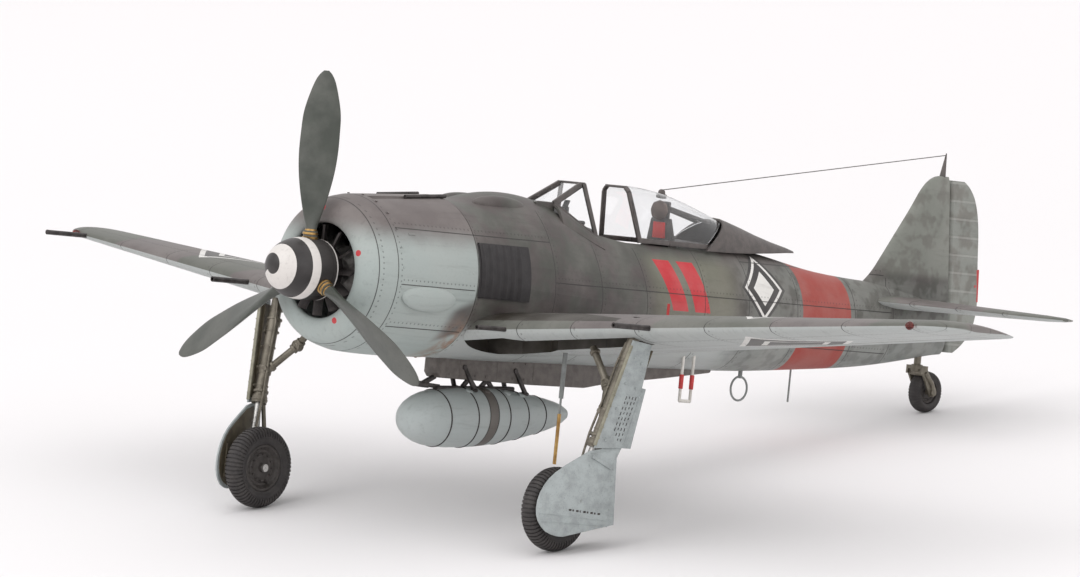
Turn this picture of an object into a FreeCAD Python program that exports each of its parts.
"""A 1:48 scale model of a single-seat radial-engined fighter, standing on its wheels.

Every piece is drawn in the airframe's own axes, in millimetres: x to the left wing tip, y aft from the
spinner's tip, z up from the propeller's axis. stand() then tips the airframe nose-up on its wheels and
puts the origin under the middle of the whole model, on the surface that it stands on.
"""
import FreeCAD
import Part
import math
import os
from FreeCAD import Placement, Rotation, Vector

# ---- driving dimensions -------------------------------------------------------------------------
STANCE = 11.334            # degrees nose-up on the wheels
SPAN_HALF = 109.4
WALL = 1.0                 # skin thickness of the moulded shells
GAP = 0.2                  # running gap round a moving surface
GUARD = 400.0              # size of the cutting blocks

SPINNER_RADIUS = 5.4
SPINNER_END = 10.8
HUB_Y = 8.36               # plane of the propeller blades
BLADE_TIP = 34.4
BLADES = 3
SHAFT_RADIUS = 1.0
SHAFT_CLEARANCE = 0.08

COWL_FRONT = 11.4          # lip of the air intake
COWL_JOINT = 17.2          # seam between nose ring and side panels
COWL_END = 36.4
COWL_MOUTH = 8.3
BODY_START = 36.7
HINGE_POST = 177.3         # where the fuselage stops in front of the rudder
CYLINDER_ROWS = (20.5, 26.5)
CYLINDERS_PER_ROW = 7
FAN_BLADES = 12

WING_ROOT_LE = 36.3
WING_SWEEP = 0.12          # y of the leading edge per mm of span
WING_ROOT_TE = 86.3
WING_TE_SLOPE = -0.1295
WING_ROOT_Z = -9.05
WING_RISE = 0.0985         # dihedral, rise per mm of span
WING_INCIDENCE = math.radians(2.0)
WING_TIP_START = 104.0
AILERON_SPAN = (62.0, 103.0)
AILERON_CHORD = 0.77       # hinge line as a share of the chord
FLAP_SPAN = (15.0, 61.0)
FLAP_CHORD = 0.78
FLAP_PLATE = 0.55

SILL_Z = 9.8               # cockpit sill
SILL_HALF = 5.2
COCKPIT = (74.8, 96.5)     # fore and aft ends of the open cockpit
CANOPY_LEAN = 0.21         # how far the front hoop leans forward, per mm of height
GLASS = 0.45

TAIL_HALF = 38.0
TAIL_Z = 3.6
ELEVATOR_HINGE = 169.6
FIN_TOP = 28.2

WHEEL_X = 37.0
WHEEL_Y = 37.28
WHEEL_Z = -36.8
WHEEL_RADIUS = 7.3
WHEEL_WIDTH = 3.65
AXLE_RADIUS = 0.7
LEG_TOP = Vector(44.5, 45.5, -5.6)
LEG_FOOT = Vector(40.4, 37.9, -35.4)
TAIL_WHEEL = Vector(0, 174.44, -12.77)
TAIL_WHEEL_RADIUS = 3.9
TAIL_WHEEL_WIDTH = 2.6
SWIVEL_TOP = Vector(0, 171.4, -6.6)

TANK_LENGTH = 43.0
TANK_RADIUS = 5.2
TANK_CENTRE = Vector(0, 54.0, -23.3)
TANK_PITCH = 4.0           # degrees, tail end high

X_AXIS = Vector(1, 0, 0)
Y_AXIS = Vector(0, 1, 0)
Z_AXIS = Vector(0, 0, 1)

pieces = {}                # node name -> shape in airframe axes


# ---- drawing helpers ----------------------------------------------------------------------------
def block(x0, x1, y0, y1, z0, z1):
    return Part.makeBox(x1 - x0, y1 - y0, z1 - z0, Vector(x0, y0, z0))


def mirror(shape):
    return shape.mirror(Vector(0, 0, 0), X_AXIS)


def join(shapes):
    if len(shapes) == 1:
        return shapes[0]
    return shapes[0].multiFuse(shapes[1:]).removeSplitter()


def group(shapes):
    return Part.makeCompound(shapes)


def rod(start, end, radius):
    return Part.makeCylinder(radius, start.distanceToPoint(end), start, end - start)


def rod_chain(points, radius):
    """A bent rod: straight runs with a ball at each bend."""
    runs = [rod(a, b, radius) for a, b in zip(points, points[1:])]
    balls = [Part.makeSphere(radius, p) for p in points[1:-1]]
    return join(runs + balls)


def spun(profile, axis_point=Vector(0, 0, 0), axis=Y_AXIS):
    """Turn a closed outline of (along, radius) pairs about an axis parallel to x or y."""
    def place(along, radius):
        if axis.x:
            return Vector(along, 0, radius) + axis_point
        return Vector(0, along, radius) + axis_point
    outline = [place(a, r) for a, r in profile]
    face = Part.Face(Part.makePolygon(outline + outline[:1]))
    return face.revolve(axis_point, axis, 360)


def spline_wire(points):
    curve = Part.BSplineCurve()
    curve.interpolate(Points=points, PeriodicFlag=True)
    return Part.Wire([curve.toShape()])


def prism(outline, thickness, direction):
    face = Part.Face(Part.makePolygon(outline + outline[:1]))
    return face.extrude(direction * thickness)


def both_sides(name, shape):
    pieces[name + "_left"] = shape
    pieces[name + "_right"] = mirror(shape)


def pair(name, shapes):
    """One node that holds the left-hand solids and their mirror images."""
    pieces[name] = group(shapes + [mirror(s) for s in shapes])


def largest(shape):
    return max(shape.Solids, key=lambda s: s.Volume)


def lowest(shape):
    return min(shape.Solids, key=lambda s: s.CenterOfMass.z)


# ---- fuselage -----------------------------------------------------------------------------------
# y, half width, height of the widest point, top, bottom, roundness of the upper and lower halves
BODY_STATIONS = [
    (COWL_END, 13.9, 0.3, 14.9, -13.7, 2.05, 2.05),
    (46.0, 13.3, 0.2, 15.7, -13.6, 1.95, 2.1),
    (61.0, 12.5, -0.4, 16.0, -13.3, 1.7, 2.15),
    (73.0, 11.9, -0.9, 13.6, -13.0, 1.6, 2.15),
    (85.0, 11.3, -1.1, 12.2, -12.8, 1.6, 2.15),
    (100.0, 10.3, -1.2, 11.4, -12.4, 1.85, 2.1),
    (122.0, 8.4, -1.2, 10.2, -11.6, 1.95, 2.05),
    (136.0, 6.9, -1.1, 8.2, -10.6, 1.85, 2.0),
    (155.0, 4.6, -0.8, 7.0, -8.9, 1.95, 2.0),
    (170.0, 2.6, -0.6, 6.0, -6.6, 2.0, 2.0),
    (HINGE_POST, 1.5, -0.5, 5.0, -5.5, 2.0, 2.0),
]
COWL_STATIONS = [
    (COWL_JOINT, 13.7, 0.0, 13.7, -13.7, 2.0, 2.0),
    (24.0, 14.0, 0.1, 14.15, -13.95, 2.0, 2.0),
    (30.0, 14.05, 0.2, 14.5, -13.9, 2.03, 2.03),
    (COWL_END, 14.0, 0.3, 14.95, -13.75, 2.05, 2.05),
]
SECTION_POINTS = 28


def body_section(station, inset):
    y, half_width, mid, top, bottom, top_power, bottom_power = station
    points = []
    for i in range(SECTION_POINTS):
        angle = 2 * math.pi * i / SECTION_POINTS
        cosine, sine = math.cos(angle), math.sin(angle)
        power = top_power if sine >= 0 else bottom_power
        height = top - mid if sine >= 0 else mid - bottom
        x = math.copysign(abs(cosine) ** (2 / power), cosine) * (half_width - inset)
        z = mid + math.copysign(abs(sine) ** (2 / power), sine) * (height - inset)
        points.append(Vector(x, y, z))
    return spline_wire(points)


def body_loft(stations, inset=0.0):
    return Part.makeLoft([body_section(s, inset) for s in stations], True, False)


def body_shell(stations, wall=WALL):
    return body_loft(stations).cut(body_loft(stations, wall))


def left_half(shape):
    return shape.common(block(0, GUARD, -GUARD, GUARD, -GUARD, GUARD))


# ---- wing ---------------------------------------------------------------------------------------
def wing_leading_edge(x):
    return WING_ROOT_LE + WING_SWEEP * x


def wing_chord(x):
    return WING_ROOT_TE + WING_TE_SLOPE * x - wing_leading_edge(x)


def foil_offset(share, thickness, side):
    """Height of the upper (side 1) or lower (side -1) skin over the chord, as a share of the chord."""
    half = 5 * thickness * (0.2969 * math.sqrt(share) - 0.1260 * share - 0.3516 * share ** 2
                            + 0.2843 * share ** 3 - 0.1036 * share ** 4)
    camber = 0.07 * share * (1 - share)
    return side * half + camber


def foil_point(x, y_front, chord, z_front, thickness, share, side):
    rise = foil_offset(share, thickness, side) * chord
    along = share * chord
    y = y_front + along * math.cos(WING_INCIDENCE)
    z = z_front + rise - along * math.sin(WING_INCIDENCE)
    return Vector(x, y, z)


FOIL_SHARES = (0.0, 0.012, 0.04, 0.09, 0.17, 0.28, 0.42, 0.58, 0.76, 0.9, 1.0)


def foil_wire(x, y_front, chord, z_front, thickness, side):
    """One half of a wing section: its skin from nose to tail, closed by the chord line."""
    points = [foil_point(x, y_front, chord, z_front, thickness, s, side) for s in FOIL_SHARES]
    skin = Part.BSplineCurve()
    skin.interpolate(Points=points)
    return Part.Wire([skin.toShape(), Part.LineSegment(points[-1], points[0]).toShape()])


def wing_thickness(x):
    return 0.155 - 0.055 * x / SPAN_HALF


def wing_section(x, side, trim_front=0.0, trim_rear=0.0):
    front = wing_leading_edge(x) + trim_front
    chord = wing_chord(x) - trim_front - trim_rear
    z_front = WING_ROOT_Z + WING_RISE * x - trim_front * math.sin(WING_INCIDENCE)
    return foil_wire(x, front, chord, z_front, wing_thickness(x), side)


WING_TIP_TRIMS = [(WING_TIP_START, 0.0, 0.0), (106.4, 1.0, 0.9), (108.2, 3.0, 2.7), (SPAN_HALF, 7.6, 7.0)]


def wing_half(side):
    """Upper or lower half of the left wing, from the middle of the aircraft to the rounded tip."""
    panel = Part.makeLoft([wing_section(0, side), wing_section(WING_TIP_START, side)], True, True)
    tip = Part.makeLoft([wing_section(x, side, f, r) for x, f, r in WING_TIP_TRIMS], True, False)
    return panel.fuse(tip).removeSplitter()


def wing_point(x, share, side):
    z_front = WING_ROOT_Z + WING_RISE * x
    return foil_point(x, wing_leading_edge(x), wing_chord(x), z_front, wing_thickness(x), share, side)


def wing_mid(x, share):
    return (wing_point(x, share, 1) + wing_point(x, share, -1)) * 0.5


def half_depth(x, share):
    return (wing_point(x, share, 1).z - wing_point(x, share, -1).z) / 2


def aileron_region(extra):
    """The block of wing that the aileron takes, grown by a gap."""
    inner, outer = AILERON_SPAN[0] - extra, AILERON_SPAN[1] + extra
    corners = []
    for x in (inner, outer):
        hinge = wing_mid(x, AILERON_CHORD)
        corners.append(Part.makePolygon([
            Vector(x, hinge.y, hinge.z - 6), Vector(x, hinge.y + 30, hinge.z - 6),
            Vector(x, hinge.y + 30, hinge.z + 6), Vector(x, hinge.y, hinge.z + 6),
            Vector(x, hinge.y, hinge.z - 6)]))
    behind = Part.makeLoft(corners, True, True)
    start, end = wing_mid(inner, AILERON_CHORD), wing_mid(outer, AILERON_CHORD)
    radii = [half_depth(x, AILERON_CHORD) * 0.98 + extra for x in (inner, outer)]
    nose = Part.makeCone(radii[0], radii[1], start.distanceToPoint(end), start, end - start)
    trimmed = nose.common(block(inner, outer, -GUARD, GUARD, -GUARD, GUARD))
    return behind.fuse(trimmed)


def flap_solid(extra):
    """The split flap: a plate under the trailing edge, hinged along its front edge."""
    wires = []
    for x in (FLAP_SPAN[0] - extra, FLAP_SPAN[1] + extra):
        front = wing_point(x, FLAP_CHORD, -1)
        rear = wing_point(x, 1.0, -1)
        wires.append(Part.makePolygon([
            Vector(x, front.y - extra, front.z - 4 * extra),
            Vector(x, rear.y + 4 * extra, rear.z - 4 * extra),
            Vector(x, rear.y + 4 * extra, rear.z + 0.12 + extra),
            Vector(x, front.y - extra, front.z + FLAP_PLATE + extra),
            Vector(x, front.y - extra, front.z - 4 * extra)]))
    return Part.makeLoft(wires, True, True)


WELL_TOP = -7.0
WHEEL_WELL = [(4.5, 38.8), (4.5, 50.0), (10.0, 53.0), (18.0, 52.0), (22.0, 49.5), (41.0, 50.0),
              (45.5, 49.0), (45.5, 43.6), (22.0, 41.3), (18.0, 39.6)]


def well_block():
    """The wheel bay as a straight-sided block, deeper than the wing."""
    outline = [Vector(x, y, -30) for x, y in WHEEL_WELL]
    tilt = Rotation(Y_AXIS, -math.degrees(math.atan(WING_RISE)))
    bay = prism(outline, 30 + WELL_TOP, Z_AXIS)
    bay.Placement = Placement(Vector(0, 0, 0), tilt, Vector(4.5, 0, WELL_TOP))
    return bay


def make_wing():
    upper, lower = wing_half(1), wing_half(-1)
    whole = upper.fuse(lower).removeSplitter()
    aileron = whole.common(aileron_region(0.0)).removeSplitter()
    aileron_cut = aileron_region(GAP)
    flap = flap_solid(0.0)
    flap_cut = flap_solid(0.1)
    bay = well_block()
    leg_socket = rod(LEG_TOP + Vector(0, 0.5, 3), LEG_TOP - Vector(0, 0.5, 4), 1.3)
    lamp = tip_light()
    upper_left = upper.cut(aileron_cut).cut(bay).cut(leg_socket)
    lower_left = lower.cut(aileron_cut).cut(flap_cut).cut(bay).cut(leg_socket).cut(lamp)
    both_sides("wing_upper", upper_left.cut(flap_cut))
    pieces["wing_lower_panel"] = join([lower_left, mirror(lower_left)])
    both_sides("aileron", aileron)
    both_sides("flap", flap)
    pair("wing_tip_lights", [lamp.cut(upper_left)])
    return whole


def tip_light():
    centre = wing_point(WING_TIP_START - 0.6, 0.0, 1)
    return Part.makeSphere(0.75, centre + Vector(0, -0.35, 0))


# ---- tail ---------------------------------------------------------------------------------------
# half thickness grows from the nose to a flat back edge at the hinge, like a wedge with a round nose
def tail_foil(place, front, back, half):
    """A half section of a tail surface: round nose, widest before its flat back edge."""
    length = back - front
    shares = (0.0, 0.03, 0.12, 0.3, 0.6, 1.0)
    widths = (0.0, 0.32, 0.62, 0.9, 1.0, 0.82)
    side = [place(front + s * length, w * half) for s, w in zip(shares, widths)]
    other = [place(front + s * length, -w * half) for s, w in zip(shares, widths)]
    curve = Part.BSplineCurve()
    curve.interpolate(Points=other[::-1] + side[1:])
    return Part.Wire([curve.toShape(), Part.LineSegment(side[-1], other[-1]).toShape()])


def wedge(place, front, back, half, tail_half=0.14):
    """A control surface section: round nose at the hinge, thin trailing edge."""
    nose = place(front - half * 0.8, 0)
    return Part.Wire([
        Part.Arc(place(front, half), nose, place(front, -half)).toShape(),
        Part.LineSegment(place(front, -half), place(back, -tail_half)).toShape(),
        Part.LineSegment(place(back, -tail_half), place(back, tail_half)).toShape(),
        Part.LineSegment(place(back, tail_half), place(front, half)).toShape()])


def rudder_hinge_y(z):
    return 178.25 - 0.095 * z


TAB_SPAN = (4.8, 11.2)       # lower and upper edge of the trim tab
FIN_STATIONS = [(4.0, 150.5, 1.75), (8.0, 154.6, 1.6), (11.0, 157.2, 1.5), (17.0, 161.6, 1.3),
                (23.0, 165.9, 1.1), (26.5, 168.6, 0.9), (27.7, 170.4, 0.7), (FIN_TOP, 172.6, 0.45)]
RUDDER_STATIONS = [(-5.0, 181.0, 0.75), (-3.1, 183.7, 0.85), (0.5, 186.2, 0.9), (3.8, 186.8, 0.95),
                   (12.0, 185.9, 0.95), (21.9, 184.3, 0.85), (25.5, 182.4, 0.7), (27.6, 179.6, 0.55)]


def make_fin():
    wires = []
    for z, front, half in FIN_STATIONS:
        back = rudder_hinge_y(z) - 1.0
        wires.append(tail_foil(lambda y, x, z=z: Vector(x, y, z), front, back, half))
    return Part.makeLoft(wires, True, False)


def make_rudder():
    wires = []
    for z, back, half in RUDDER_STATIONS:
        wires.append(wedge(lambda y, x, z=z: Vector(x, y, z), rudder_hinge_y(z) + 0.35, back, half))
    whole = Part.makeLoft(wires, True, False)
    tab_zone = block(-3, 3, 184.8, 190, TAB_SPAN[0], TAB_SPAN[1])
    pieces["rudder"] = group([whole.cut(tab_zone), whole.common(tab_zone)])


def tail_plane_half(x):
    """Half thickness of the tailplane at a distance from the middle."""
    return 1.25 - 0.0195 * x


def make_tailplane():
    wires = []
    for x, front in ((0.0, 152.8), (35.0, 163.6)):
        wires.append(tail_foil(lambda y, t, x=x: Vector(x, y, TAIL_Z + t), front, ELEVATOR_HINGE - 0.9,
                               tail_plane_half(x)))
    panel = Part.makeLoft(wires, True, True)
    tip_wires = []
    for x, front, share in ((35.0, 163.6, 1.0), (36.8, 164.9, 0.8), (TAIL_HALF, 167.0, 0.45)):
        tip_wires.append(tail_foil(lambda y, t, x=x: Vector(x, y, TAIL_Z + t), front, ELEVATOR_HINGE - 0.9,
                                   tail_plane_half(35.0) * share))
    return panel.fuse(Part.makeLoft(tip_wires, True, True)).removeSplitter()


def make_elevator():
    wires = []
    for x, back, half in ((3.2, 178.0, 0.95), (33.0, 172.2, 0.5), (36.4, 171.2, 0.4), (37.6, 170.5, 0.25)):
        wires.append(wedge(lambda y, t, x=x: Vector(x, y, TAIL_Z + t), ELEVATOR_HINGE, back, half, 0.1))
    return Part.makeLoft(wires, True, True)


# ---- canopy and windscreen ----------------------------------------------------------------------
# y at the foot, top, half width at the top, half width at the foot, height of the foot, lean
CANOPY_STATIONS = [
    (85.4, 20.2, 2.9, 5.15, 10.05, CANOPY_LEAN),
    (93.0, 19.4, 2.95, 5.2, 10.05, 0.12),
    (101.0, 17.5, 2.8, 5.3, 10.0, 0.05),
    (109.8, 15.4, 2.6, 5.3, 9.95, 0.0),
]
FAIRING_STATIONS = [
    (110.0, 15.35, 2.6, 5.3, 10.15, 0.0),
    (118.0, 13.7, 2.2, 4.6, 10.45, 0.0),
    (126.0, 12.5, 1.5, 3.2, 11.3, 0.0),
    (132.6, 11.6, 0.6, 1.0, 11.2, 0.0),
]


def canopy_section(station, inset=0.0, drop=0.0, along=0.0):
    """Canopy outline: sides that lean in to a rounded top, closed across the foot."""
    y, top, half_top, half_foot, foot, lean = station
    low = foot - drop
    left = [
        (half_foot - inset, low),
        (half_foot * 0.94 - inset, foot + (top - foot) * 0.35),
        (half_top * 1.12 - inset, foot + (top - foot) * 0.84),
        (half_top * 0.6, top - 0.3 - inset)]
    outline = left + [(0.0, top - inset)] + [(-x, z) for x, z in reversed(left)]
    points = [Vector(x, y + along - (z - foot) * lean, z) for x, z in outline]
    curve = Part.BSplineCurve()
    curve.interpolate(Points=points)
    return Part.Wire([curve.toShape(), Part.LineSegment(points[-1], points[0]).toShape()])


def canopy_hollow(inset):
    front, back = CANOPY_STATIONS[0], CANOPY_STATIONS[-1]
    wires = [canopy_section(front, inset, 1.0, -1.0)]
    wires += [canopy_section(s, inset, 1.0) for s in CANOPY_STATIONS]
    wires += [canopy_section(back, inset, 1.0, 0.6)]
    return Part.makeLoft(wires, True, False)


def hoop_zone(foot_y, width, lean):
    """A leaning slab, as wide as a canopy hoop."""
    low, high = 8.0, 24.0
    outline = [Vector(-12, foot_y - (z - SILL_Z) * lean + dy, z)
               for z, dy in ((low, 0), (low, width), (high, width), (high, 0))]
    return prism(outline, 24, X_AXIS)


def fairing_hollow_outline(station, y):
    """Plain trapezium that keeps a wall of at least 0.6 mm inside the tail fairing."""
    _, top, half_top, half_foot, foot, _ = station
    low, high = foot - 1.0, foot + (top - foot) * 0.75
    foot_x, top_x = half_foot - 0.7, half_top * 0.75
    corners = [(foot_x, low), (top_x, high), (-top_x, high), (-foot_x, low)]
    points = [Vector(x, y, z) for x, z in corners]
    return Part.makePolygon(points + points[:1])


def make_canopy():
    solid = Part.makeLoft([canopy_section(s) for s in CANOPY_STATIONS], True, False)
    shell = solid.cut(canopy_hollow(GLASS))
    sill = block(-12, 12, 80, 120, 9, 11.0)
    frame_zone = join([sill, hoop_zone(84.0, 2.4, CANOPY_LEAN), hoop_zone(108.9, 3.0, 0.0)])
    pieces["canopy_frame"] = shell.common(frame_zone)
    pieces["canopy_glass"] = shell.cut(frame_zone)
    fairing = Part.makeLoft([canopy_section(s) for s in FAIRING_STATIONS], True, True)
    hollow = [fairing_hollow_outline(s, y) for s, y in zip(FAIRING_STATIONS[:3], (109.0, 117.5, 125.0))]
    pieces["canopy_tail_fairing"] = fairing.cut(Part.makeLoft(hollow, True, True))
    plate_zone = hoop_zone(94.9, 0.8, 0.14).common(block(-12, 12, 80, 120, 10.6, 18.4))
    plate = canopy_hollow(GLASS + 0.15).common(plate_zone)
    pad = block(-1.5, 1.5, 90.6, 92.9, 14.4, 18.2)
    pieces["headrest_pad"] = pad.makeFillet(0.5, pad.Edges).cut(plate_zone)
    brace = rod(Vector(0, 94.6, 13.0), Vector(0, 104.0, 15.6), 0.35)
    brace = brace.cut(plate_zone).common(canopy_hollow(GLASS + 0.1))
    pieces["head_armour_plate"] = group([plate, brace])
    pulley = Part.makeCylinder(0.55, 0.6, Vector(-0.3, 92.6, 19.9), X_AXIS)
    pieces["canopy_frame"] = group([pieces["canopy_frame"], pulley.cut(solid)])


WINDSCREEN_FOOT = 64.6
WINDSCREEN_REAR = 74.8


def windscreen_block(inset, overrun=0.0):
    """Flat armoured front pane with two side panes; the back follows the canopy hoop."""
    def quad(y, low, half_low, high, half_high, lean):
        corners = [(-half_low + inset, low), (half_low - inset, low),
                   (half_high - inset, high - inset), (-half_high + inset, high - inset)]
        points = [Vector(x, y - (z - low) * lean, z) for x, z in corners]
        return Part.makePolygon(points + points[:1])
    front = quad(WINDSCREEN_FOOT + inset, 11.0, 4.3, 15.9, 3.1, 0.0)
    back = quad(WINDSCREEN_REAR, SILL_Z, 5.2, 19.8, 2.9, CANOPY_LEAN)
    shape = Part.makeLoft([front, back], True, True)
    if overrun:
        far = quad(WINDSCREEN_REAR + overrun, SILL_Z, 5.2, 19.9, 2.9, CANOPY_LEAN)
        shape = shape.fuse(Part.makeLoft([back, far], True, True))
    return shape


def make_windscreen(fuselage):
    shell = windscreen_block(0.0).cut(windscreen_block(GLASS, 1.0)).cut(fuselage)
    edges = [rod(Vector(side * 3.1, 64.2, 15.7), Vector(side * 2.9, 73.2, 20.0), 0.5) for side in (-1, 1)]
    edges += [rod(Vector(-4, WINDSCREEN_FOOT, 15.9), Vector(4, WINDSCREEN_FOOT, 15.9), 0.55)]
    edges += [rod(Vector(-4, 72.3, 19.6), Vector(4, 72.3, 19.6), 0.6)]
    edges += [hoop_zone(73.9, 1.5, CANOPY_LEAN)]
    edges += [rod(Vector(side * 4.2, 65.0, 13.6), Vector(side * 5.5, 75.0, 9.9), 0.8) for side in (-1, 1)]
    zone = edges[0].multiFuse(edges[1:])
    pieces["windscreen_frame"] = shell.common(zone)
    pieces["windscreen_glass"] = shell.cut(zone)


# ---- cockpit ------------------------------------------------------------------------------------
TUB_HALF = 4.5
TUB_FLOOR = -3.5


def make_cockpit():
    inner = body_loft(BODY_STATIONS, WALL + 0.15)
    tub = block(-TUB_HALF, TUB_HALF, 68.5, 96.3, TUB_FLOOR - 0.6, SILL_Z - 0.2)
    hollow = block(-TUB_HALF + 0.5, TUB_HALF - 0.5, 69.1, 95.7, TUB_FLOOR, 20)
    pieces["cockpit_tub"] = tub.common(inner).cut(hollow)
    board = block(-3.7, 3.7, 70.6, 71.3, 3.0, 11.6)
    dials = [Part.makeCylinder(0.75, 0.3, Vector(x, 71.3, z), Y_AXIS)
             for x in (-2.4, -0.8, 0.8, 2.4) for z in (5.5, 7.6, 9.7)]
    sight = block(-0.8, 0.8, 70.0, 71.9, 11.6, 13.0)
    pane = block(-0.7, 0.7, 71.0, 71.3, 13.0, 15.2)
    pieces["instrument_panel"] = group([board, join([sight, pane])] + dials)
    pan = block(-2.6, 2.6, 84.0, 90.2, 0.6, 1.6)
    back = prism([Vector(-2.6, 89.2, 1.6), Vector(-2.6, 90.2, 1.6), Vector(-2.6, 91.9, 9.2),
                  Vector(-2.6, 90.9, 9.2)], 5.2, X_AXIS)
    sides = [block(x, x + 0.5, 84.0, 89.6, 1.6, 4.0) for x in (-2.6, 2.1)]
    post = block(-1.8, 1.8, 87.0, 89.6, TUB_FLOOR, 0.6)
    seat = join([pan, back, post] + sides)
    belts = [block(x, x + 0.7, 88.85, 89.15, 2.0, 6.2) for x in (-1.5, 0.8)]
    lap = block(-2.1, 2.1, 85.0, 85.9, 1.65, 1.95)
    pieces["pilot_seat"] = group([seat, lap] + belts)
    stick = rod(Vector(0, 80.5, TUB_FLOOR), Vector(0, 81.5, 3.0), 0.3)
    grip = rod(Vector(0, 81.5, 3.0), Vector(0, 81.8, 5.0), 0.5)
    pieces["control_stick"] = join([stick, grip])


# ---- fuselage pieces ----------------------------------------------------------------------------
GUN_COVER = (BODY_START, 61.5, 9.6)     # front, back and lower edge of the gun cover
GILL_ZONE = (37.2, 50.5, -2.2, 7.4)


def gill_zone(extra):
    y0, y1, z0, z1 = GILL_ZONE
    return block(5, 20, y0 - extra, y1 + extra, z0 - extra, z1 + extra)


def make_fuselage(wing):
    outer = body_loft(BODY_STATIONS)
    shell = outer.cut(body_loft(BODY_STATIONS, WALL))
    shell = shell.cut(block(-GUARD, GUARD, -10, BODY_START, -GUARD, GUARD))
    wings = [wing, mirror(wing)]
    well = block(-SILL_HALF, SILL_HALF, COCKPIT[0], COCKPIT[1], SILL_Z, 30)
    opening = block(-TUB_HALF + 0.4, TUB_HALF - 0.4, 69.1, COCKPIT[1] - 0.6, 0, 30)
    for tool in wings + [well, opening]:
        shell = shell.cut(tool)
    tube = rod(Vector(-8, ELEVATOR_HINGE, TAIL_Z), Vector(8, ELEVATOR_HINGE, TAIL_Z), 0.75)
    socket = rod(SWIVEL_TOP - Z_AXIS * 3, SWIVEL_TOP + Z_AXIS * 3, 0.75)
    shell = shell.cut(tube).cut(socket)
    tail = make_tailplane()
    fin = make_fin().cut(outer).cut(tube)
    tail = tail.cut(outer).cut(fin).cut(tube)
    both_sides("tailplane", tail)
    pieces["tail_fin"] = fin
    y0, y1, low = GUN_COVER
    cover_zone = block(-GUARD, GUARD, y0 - 1, y1, low, GUARD)
    bulges = []
    for x in (-4.3, 4.3):
        lump = Part.makeSphere(1.0)
        stretch = FreeCAD.Matrix()
        stretch.scale(1.9, 6.5, 1.7)
        lump = lump.transformGeometry(stretch)
        lump.translate(Vector(x, 49.5, 14.2))
        bulges.append(lump.cut(outer))
    cover = shell.common(cover_zone)
    pieces["gun_cowl_cover"] = join([cover] + bulges)
    shell = shell.cut(cover_zone)
    left = left_half(shell)
    proud = body_loft([(s[0], s[1] + 0.3, s[2], s[3] + 0.3, s[4] - 0.3, s[5], s[6]) for s in BODY_STATIONS])
    gills = proud.cut(body_loft(BODY_STATIONS, 0.5)).common(gill_zone(0.0))
    pair("cooling_gill_panels", [largest(gills)])
    both_sides("fuselage_shell", left.cut(gill_zone(0.0).common(proud.cut(body_loft(BODY_STATIONS, 0.5)))))
    make_windscreen(outer)
    return outer


def make_cowl():
    lip = [(COWL_FRONT + 0.2, COWL_MOUTH + 0.15), (COWL_FRONT - 0.15, 9.2), (COWL_FRONT, 10.4),
           (12.3, 11.95), (14.2, 13.0), (COWL_JOINT, 13.7)]
    bore = [(COWL_JOINT, 12.6), (14.6, 10.9), (13.2, 9.0), (12.2, COWL_MOUTH)]
    front = [Vector(0, y, r) for y, r in lip]
    rear = [Vector(0, y, r) for y, r in bore]
    outside, inside = Part.BSplineCurve(), Part.BSplineCurve()
    outside.interpolate(Points=[rear[-1]] + front)
    inside.interpolate(Points=rear)
    back = Part.LineSegment(front[-1], rear[0])
    face = Part.Face(Part.Wire([outside.toShape(), back.toShape(), inside.toShape()]))
    pieces["cowl_nose_ring"] = face.revolve(Vector(0, 0, 0), Y_AXIS, 360)
    shell = body_shell(COWL_STATIONS, 0.9)
    for x in (-3.4, 3.4):
        shell = shell.cut(rod(Vector(x, 18.5, 13.4), Vector(x, 37.0, 14.9), 0.8))
    lump = Part.makeSphere(1.0)
    stretch = FreeCAD.Matrix()
    stretch.scale(1.1, 6.6, 2.3)
    lump = lump.transformGeometry(stretch)
    lump.translate(Vector(13.55, 25.2, -3.1))
    bulge = lump.cut(body_loft(COWL_STATIONS))
    both_sides("cowl_panel", group([left_half(shell), bulge]))
    barrel = rod(Vector(3.4, 27.0, 14.09), Vector(3.4, 36.9, 14.89), 0.35)
    return barrel


# ---- engine and propeller -----------------------------------------------------------------------
def make_engine():
    shaft_hole = rod(Vector(0, 0, 0), Vector(0, 60, 0), SHAFT_RADIUS + SHAFT_CLEARANCE)
    case = spun([(16.5, 0), (16.5, 2.2), (18.0, 4.6), (31.0, 5.0), (31.0, 0)])
    pieces["engine_crankcase"] = case.cut(shaft_hole)
    cylinders = []
    for row, y in enumerate(CYLINDER_ROWS):
        for i in range(CYLINDERS_PER_ROW):
            angle = 2 * math.pi * (i + row / 2) / CYLINDERS_PER_ROW
            out = Vector(math.sin(angle), 0, math.cos(angle))
            barrel = rod(Vector(0, y, 0) + out * 4.0, Vector(0, y, 0) + out * 11.2, 1.75)
            cylinders.append(barrel.cut(case))
    pieces["engine_cylinders"] = group(cylinders)
    mount = spun([(31.0, 0), (31.0, 4.4), (34.6, 8.6), (35.6, 8.6), (35.6, 0)])
    pieces["engine_bearer"] = mount.cut(shaft_hole)


BLADE_SECTIONS = [   # distance out, chord, thickness, pitch in degrees
    (7.6, 2.2, 2.0, 52), (10.0, 3.5, 1.5, 47), (14.0, 5.3, 1.15, 41), (19.0, 6.7, 0.9, 35),
    (24.5, 6.9, 0.72, 30), (29.0, 5.9, 0.6, 26), (32.2, 4.0, 0.5, 23.5), (33.8, 2.2, 0.4, 22.5),
    (BLADE_TIP, 0.9, 0.3, 22)]


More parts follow.
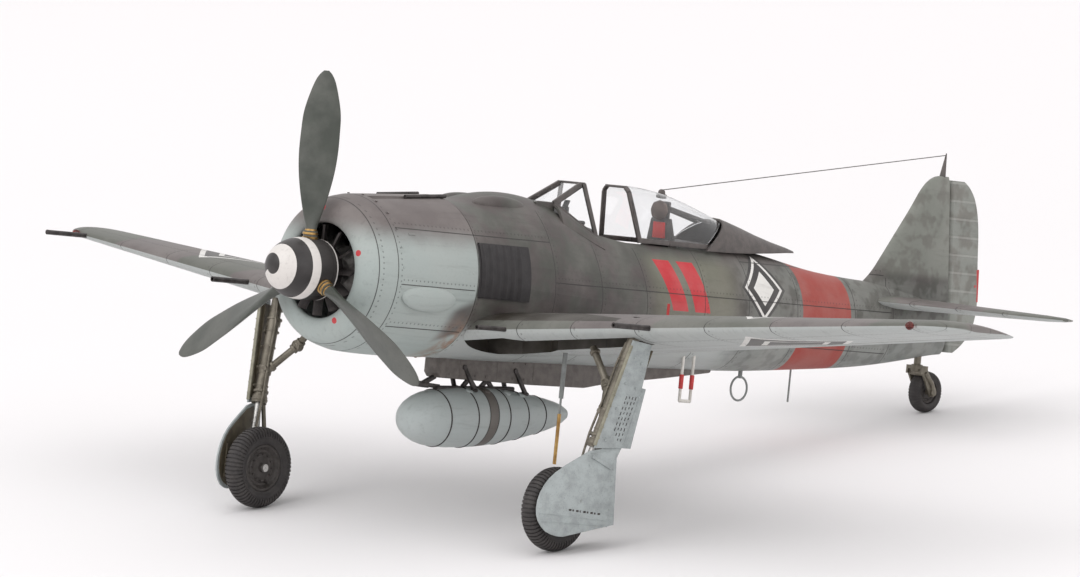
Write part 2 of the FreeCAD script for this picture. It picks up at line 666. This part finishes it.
def blade_section(out, chord, thick, pitch):
    angle = math.radians(pitch)
    points = []
    for along, across in ((-0.5, 0.0), (-0.42, 0.36), (-0.15, 0.55), (0.15, 0.45), (0.5, 0.0),
                          (0.15, -0.4), (-0.15, -0.42), (-0.42, -0.3)):
        a, t = along * chord, across * thick
        x = a * math.cos(angle) - t * math.sin(angle)
        y = a * math.sin(angle) + t * math.cos(angle)
        points.append(Vector(x, HUB_Y + y, out))
    return spline_wire(points)


def make_propeller():
    root = rod(Vector(0, HUB_Y, 1.6), Vector(0, HUB_Y, 6.6), 1.25)
    neck = Part.makeLoft([Part.Wire(Part.makeCircle(1.0, Vector(0, HUB_Y, 6.6))),
                          blade_section(*BLADE_SECTIONS[0])], True, False)
    foil = Part.makeLoft([blade_section(*s) for s in BLADE_SECTIONS], True, False)
    blade = join([root, neck, foil])
    nose = [Vector(0, 0, 0), Vector(0, 0.25, 1.5), Vector(0, 1.1, 3.0), Vector(0, 2.7, 4.3),
            Vector(0, 4.8, 5.15), Vector(0, 6.8, SPINNER_RADIUS)]
    curve = Part.BSplineCurve()
    curve.interpolate(Points=nose)
    corners = [nose[-1], Vector(0, SPINNER_END, SPINNER_RADIUS - 0.1), Vector(0, SPINNER_END, 0), nose[0]]
    lines = [Part.LineSegment(a, b).toShape() for a, b in zip(corners, corners[1:])]
    spinner = Part.Face(Part.Wire([curve.toShape()] + lines)).revolve(Vector(0, 0, 0), Y_AXIS, 360)
    core = Part.makeCylinder(3.4, 5.4, Vector(0, 5.4, 0), Y_AXIS)
    spinner = spinner.cut(core)
    hub = Part.makeCylinder(3.4, 5.2, Vector(0, 5.6, 0), Y_AXIS)
    hub = hub.cut(rod(Vector(0, 0, 0), Vector(0, 60, 0), SHAFT_RADIUS))
    shaft = rod(Vector(0, HUB_Y, 0), Vector(0, 34.0, 0), SHAFT_RADIUS)
    blades = []
    for i in range(BLADES):
        turn = Placement(Vector(0, 0, 0), Rotation(Y_AXIS, 360.0 * i / BLADES))
        placed = blade.copy()
        placed.Placement = turn
        placed = placed.cut(shaft)
        blades.append(placed)
        spinner = spinner.cut(placed)
        hub = hub.cut(placed)
    pieces["spinner"] = spinner
    pieces["propeller_blades"] = group(blades)
    pieces["propeller_hub_and_shaft"] = group([hub, shaft])
    fan_hub = Part.makeCylinder(4.4, 1.9, Vector(0, SPINNER_END + 0.1, 0), Y_AXIS)
    fan_hub = fan_hub.cut(rod(Vector(0, 0, 0), Vector(0, 60, 0), SHAFT_RADIUS))
    vanes = []
    for i in range(FAN_BLADES):
        vane = block(-0.18, 0.18, SPINNER_END + 0.25, SPINNER_END + 1.9, 4.0, 7.9)
        vane.rotate(Vector(0, SPINNER_END + 1, 0), Z_AXIS, 28)
        vane.rotate(Vector(0, 0, 0), Y_AXIS, 360.0 * i / FAN_BLADES)
        vanes.append(vane)
    pieces["cooling_fan"] = join([fan_hub] + vanes)


# ---- undercarriage ------------------------------------------------------------------------------
def tyre_ring(centre, radius, width, bore, crown):
    ring = Part.makeCylinder(radius, width, centre - X_AXIS * (width / 2), X_AXIS)
    rims = [e for e in ring.Edges if len(e.Vertexes) == 1]
    ring = ring.makeFillet(crown, rims)
    return ring.cut(Part.makeCylinder(bore, width * 2, centre - X_AXIS * width, X_AXIS))


def wheel_disc(centre, radius, width, axle):
    half = width / 2
    disc = spun([(-half, 0), (-half, radius * 0.3),
                 (-half * 0.55, radius * 0.4), (-half * 0.55, radius * 0.8),
                 (-half * 0.9, radius * 0.9), (-half * 0.9, radius), (half * 0.9, radius),
                 (half * 0.9, radius * 0.9), (half * 0.55, radius * 0.8), (half * 0.55, radius * 0.4),
                 (half, radius * 0.3), (half, 0)], centre, X_AXIS)
    return disc.cut(Part.makeCylinder(axle, width * 2, centre - X_AXIS * width, X_AXIS))


def leg_point(share):
    return LEG_TOP + (LEG_FOOT - LEG_TOP) * share


def make_main_gear(wing):
    centre = Vector(WHEEL_X, WHEEL_Y, WHEEL_Z)
    both_sides("main_tyre", tyre_ring(centre, WHEEL_RADIUS, WHEEL_WIDTH, 4.2, 1.25))
    both_sides("main_wheel_hub", wheel_disc(centre, 4.2, 3.0, AXLE_RADIUS + 0.06))
    casing = rod(LEG_TOP + Vector(0, 0, 1.2), leg_point(0.66), 1.05)
    collar = rod(leg_point(0.63), leg_point(0.67), 1.4)
    lug = Part.makeSphere(1.3, leg_point(0.46))
    bay = block(38, 48, 40, 52, -20, WELL_TOP + 3.0)
    leg = join([casing, collar, lug]).cut(wing.cut(bay))
    pair("leg_casings", [leg])
    ram = rod(leg_point(0.66), LEG_FOOT, 0.68)
    knuckle = Part.makeSphere(1.15, LEG_FOOT + Vector(0, -0.3, -0.9))
    axle_end = Vector(WHEEL_X - 1.9, WHEEL_Y, WHEEL_Z)
    axle = rod(axle_end, Vector(LEG_FOOT.x, WHEEL_Y, WHEEL_Z), AXLE_RADIUS)
    slider = join([ram, knuckle, axle]).cut(casing).cut(collar)
    pair("leg_rams_and_axles", [slider])
    rear = Vector(0, 2.6, 0)
    elbow = leg_point(0.83) + rear
    arms = rod_chain([leg_point(0.665) + Vector(0, 1.1, 0), elbow, leg_point(0.985) + Vector(0, 0.9, 0)], 0.4)
    for other in (leg, slider, pieces["main_tyre_left"]):
        arms = arms.cut(other)
    brace_low = leg_point(0.46) + Vector(-1.0, 0, 0)
    knee = Vector(38.6, 45.6, -14.6)
    brace = rod_chain([brace_low, knee, Vector(33.6, 46.4, -8.6)], 0.6)
    brace = join([brace, Part.makeSphere(0.95, knee)])
    brace = brace.cut(leg).cut(wing.cut(well_block()))
    return leg, slider, [largest(arms), largest(brace)]


DOOR_THICK = 0.45
UPPER_DOOR = [(42.3, -6.4), (47.5, -6.3), (48.9, -25.2), (38.9, -25.6)]
LOWER_DOOR = [(39.3, -26.1), (46.3, -26.1), (46.6, -38.8), (38.4, -40.9), (33.1, -41.3), (28.9, -39.9),
              (27.6, -37.7), (28.0, -35.0), (29.5, -31.9), (33.1, -29.3)]


def make_doors(wing, leg, ram, links):
    """The two-part leg door, outboard of the leg and leaning with it."""
    upper = prism([Vector(46.1 + (z + 6.4) * 0.165, y, z) for y, z in UPPER_DOOR], DOOR_THICK, X_AXIS)
    lower = prism([Vector(42.7, y, z) for y, z in LOWER_DOOR], DOOR_THICK, X_AXIS)
    clamps = [rod(leg_point(t), leg_point(t) + Vector(4.5 - 3.2 * t, 0, 0), 0.45) for t in (0.2, 0.42, 0.6)]
    lower_clamp = rod(leg_point(0.98), leg_point(0.98) + Vector(2.6, 0, 0), 0.5)
    upper_plate = upper.cut(wing).cut(leg)
    fittings = [c.cut(leg).cut(upper_plate) for c in clamps] + [lower_clamp.cut(ram).cut(lower)]
    pair("leg_doors", [upper_plate, lower])
    pair("leg_links_and_clamps", links + [inboard_piece(f) for f in fittings])


def inboard_piece(shape):
    """The part of a clamp that lies between the leg and its door."""
    return min(shape.Solids, key=lambda s: s.CenterOfMass.x)


def make_tail_wheel():
    pieces["tail_tyre"] = tyre_ring(TAIL_WHEEL, TAIL_WHEEL_RADIUS, TAIL_WHEEL_WIDTH, 2.1, 0.95)
    pieces["tail_wheel_hub"] = wheel_disc(TAIL_WHEEL, 2.1, 2.0, 0.56)
    post = rod(SWIVEL_TOP - Z_AXIS * 1.5, SWIVEL_TOP + Z_AXIS * 2.4, 0.68)
    crown = block(-1.95, 1.95, 170.6, 172.4, -8.6, -7.9)
    arms = [block(x, x + 0.4, 170.6, 172.4, -9.5, -8.2) for x in (-1.95, 1.55)]
    legs = []
    for x in (-1.95, 1.55):
        outline = [Vector(x, 170.6, -8.6), Vector(x, 172.4, -8.6), Vector(x, 175.4, -12.2),
                   Vector(x, 174.9, -13.6), Vector(x, 173.8, -13.6)]
        legs.append(prism(outline, 0.4, X_AXIS))
    axle = rod(TAIL_WHEEL - X_AXIS * 1.95, TAIL_WHEEL + X_AXIS * 1.95, 0.5)
    pieces["tail_wheel_fork"] = join([post, crown, axle] + arms + legs)


# ---- stores and small fittings ------------------------------------------------------------------
def make_belly_store(body, wing):
    side = [(40.3, -12.6), (44.2, -16.0), (62.4, -16.3), (79.3, -16.5), (84.4, -15.9), (100.1, -14.0),
            (112.0, -12.4), (100.0, -11.0), (60.0, -11.0), (42.0, -11.0)]
    rack = prism([Vector(-1.9, y, z) for y, z in side], 3.8, X_AXIS)
    for neighbour in (wing, mirror(wing), body):
        rack = rack.cut(neighbour)
    pieces["belly_rack"] = largest(rack)
    half = TANK_LENGTH / 2
    nose = []
    for i in range(11):
        t = -1 + 0.2 * i
        nose.append(Vector(0, t * half, TANK_RADIUS * (1 - abs(t) ** 2.5) ** 0.62))
    curve = Part.BSplineCurve()
    curve.interpolate(Points=nose)
    wire = Part.Wire([curve.toShape(), Part.LineSegment(nose[-1], nose[0]).toShape()])
    tank = Part.Face(wire).revolve(Vector(0, 0, 0), Y_AXIS, 360)
    tank.Placement = Placement(TANK_CENTRE + Vector(0, 1.5, 0), Rotation(X_AXIS, TANK_PITCH))
    pieces["drop_tank"] = tank
    feet = []
    for y in (47.0, 61.0):
        for x in (-1, 1):
            feet.append(rod(Vector(x * 1.2, y, -15.9), Vector(x * 3.4, y, -19.2), 0.45))
        feet.append(block(-0.5, 0.5, y + 2.5, y + 4.0, -19.0, -15.5))
    braces = [f.cut(tank).cut(pieces["belly_rack"]) for f in feet]
    pieces["tank_sway_braces"] = group([largest(b) for b in braces])


def make_guns(wing, cowl_barrel):
    barrels = [cowl_barrel]
    for x, muzzle, radius in ((19.4, 31.7, 0.42), (49.9, 33.6, 0.5)):
        z = wing_point(x, 0.0, 1).z
        barrel = rod(Vector(x, muzzle, z), Vector(x, wing_leading_edge(x) + 2.5, z), radius)
        bore = rod(Vector(x, muzzle - 1, z), Vector(x, muzzle + 2.5, z), radius * 0.55)
        barrels.append(largest(barrel.cut(bore).cut(wing)))
    pair("gun_barrels", barrels)
    x = 101.0
    nose = wing_point(x, 0.0, 1)
    tube = rod(nose - Y_AXIS * 9.6, nose + Y_AXIS * 2, 0.45)
    pieces["pitot_tube"] = mirror(largest(tube.cut(wing)))


def make_aerials(body):
    pieces["fin_mast"] = rod(Vector(0, 173.75, 28.6), Vector(0, 173.75, 32.6), 0.28).cut(pieces["tail_fin"])
    pulley = Vector(0, 94.0, 20.35)
    pieces["aerial_wire"] = rod(Vector(0, 173.3, 32.3), pulley, 0.09).cut(pieces["fin_mast"])
    base = Vector(24.5, 49.2, -12.2)
    stem = rod(base + Z_AXIS * 2, base - Z_AXIS * 6, 0.42)
    whip = join([stem, rod(base - Z_AXIS * 6, base - Z_AXIS * 17.5, 0.2)]).cut(pieces["wing_lower_panel"])
    foot = rod(Vector(0, 122.0, -13.0), Vector(0, 122.0, -11.0), 0.4)
    loop = join([foot, Part.makeTorus(2.2, 0.2, Vector(0, 122.0, -14.9), X_AXIS)]).cut(body)
    belly_rod = rod(Vector(0, 135.8, -16.7), Vector(0, 135.8, -9.5), 0.18).cut(body)
    pieces["belly_aerials"] = group([lowest(whip), lowest(loop), lowest(belly_rod)])
    rails = [rod(Vector(7.0, y, -17.8), Vector(7.0, y, -8.5), 0.28) for y in (98.6, 101.4)]
    step = join(rails + [rod(Vector(7.0, 98.6, -17.7), Vector(7.0, 101.4, -17.7), 0.3)]).cut(body)
    pieces["boarding_step"] = lowest(step)
    top = wing_point(44.0, 0.3, 1)
    pin = rod(top - Z_AXIS, top + Z_AXIS * 2.2, 0.25).cut(pieces["wing_upper_left"])
    pair("gear_indicator_pins", [max(pin.Solids, key=lambda s: s.CenterOfMass.z)])


# ---- assemble -----------------------------------------------------------------------------------
def build():
    wing = make_wing()
    body = make_fuselage(wing)
    cowl_barrel = make_cowl()
    make_engine()
    make_propeller()
    make_cockpit()
    make_canopy()
    elevator = make_elevator()
    both_sides("elevator", elevator)
    tube = rod(Vector(-3.4, ELEVATOR_HINGE, TAIL_Z), Vector(3.4, ELEVATOR_HINGE, TAIL_Z), 0.6)
    tube = tube.cut(elevator).cut(mirror(elevator))
    pieces["elevator_left"] = group([elevator, tube])
    make_rudder()
    leg, ram, links = make_main_gear(wing)
    make_doors(wing, leg, ram, links)
    make_tail_wheel()
    make_belly_store(body, wing)
    make_guns(wing, cowl_barrel)
    make_aerials(body)


def stand():
    """Placement that tips the airframe onto its wheels and centres it over the origin."""
    tip = Placement(Vector(0, 0, 0), Rotation(X_AXIS, -STANCE))
    whole = group([s.copy() for s in pieces.values()])
    whole.Placement = tip
    box = whole.optimalBoundingBox(False)
    lift = Placement(Vector(-(box.XMin + box.XMax) / 2, -(box.YMin + box.YMax) / 2, -box.ZMin), Rotation())
    return lift.multiply(tip)


build()
to_stand = stand()
os.makedirs("parts", exist_ok=True)
for name, shape in pieces.items():
    placed = shape.copy()
    placed.Placement = to_stand.multiply(placed.Placement)
    pieces[name] = placed
    placed.exportStep("parts/%s.step" % name)
print(len(pieces), "nodes", to_stand)
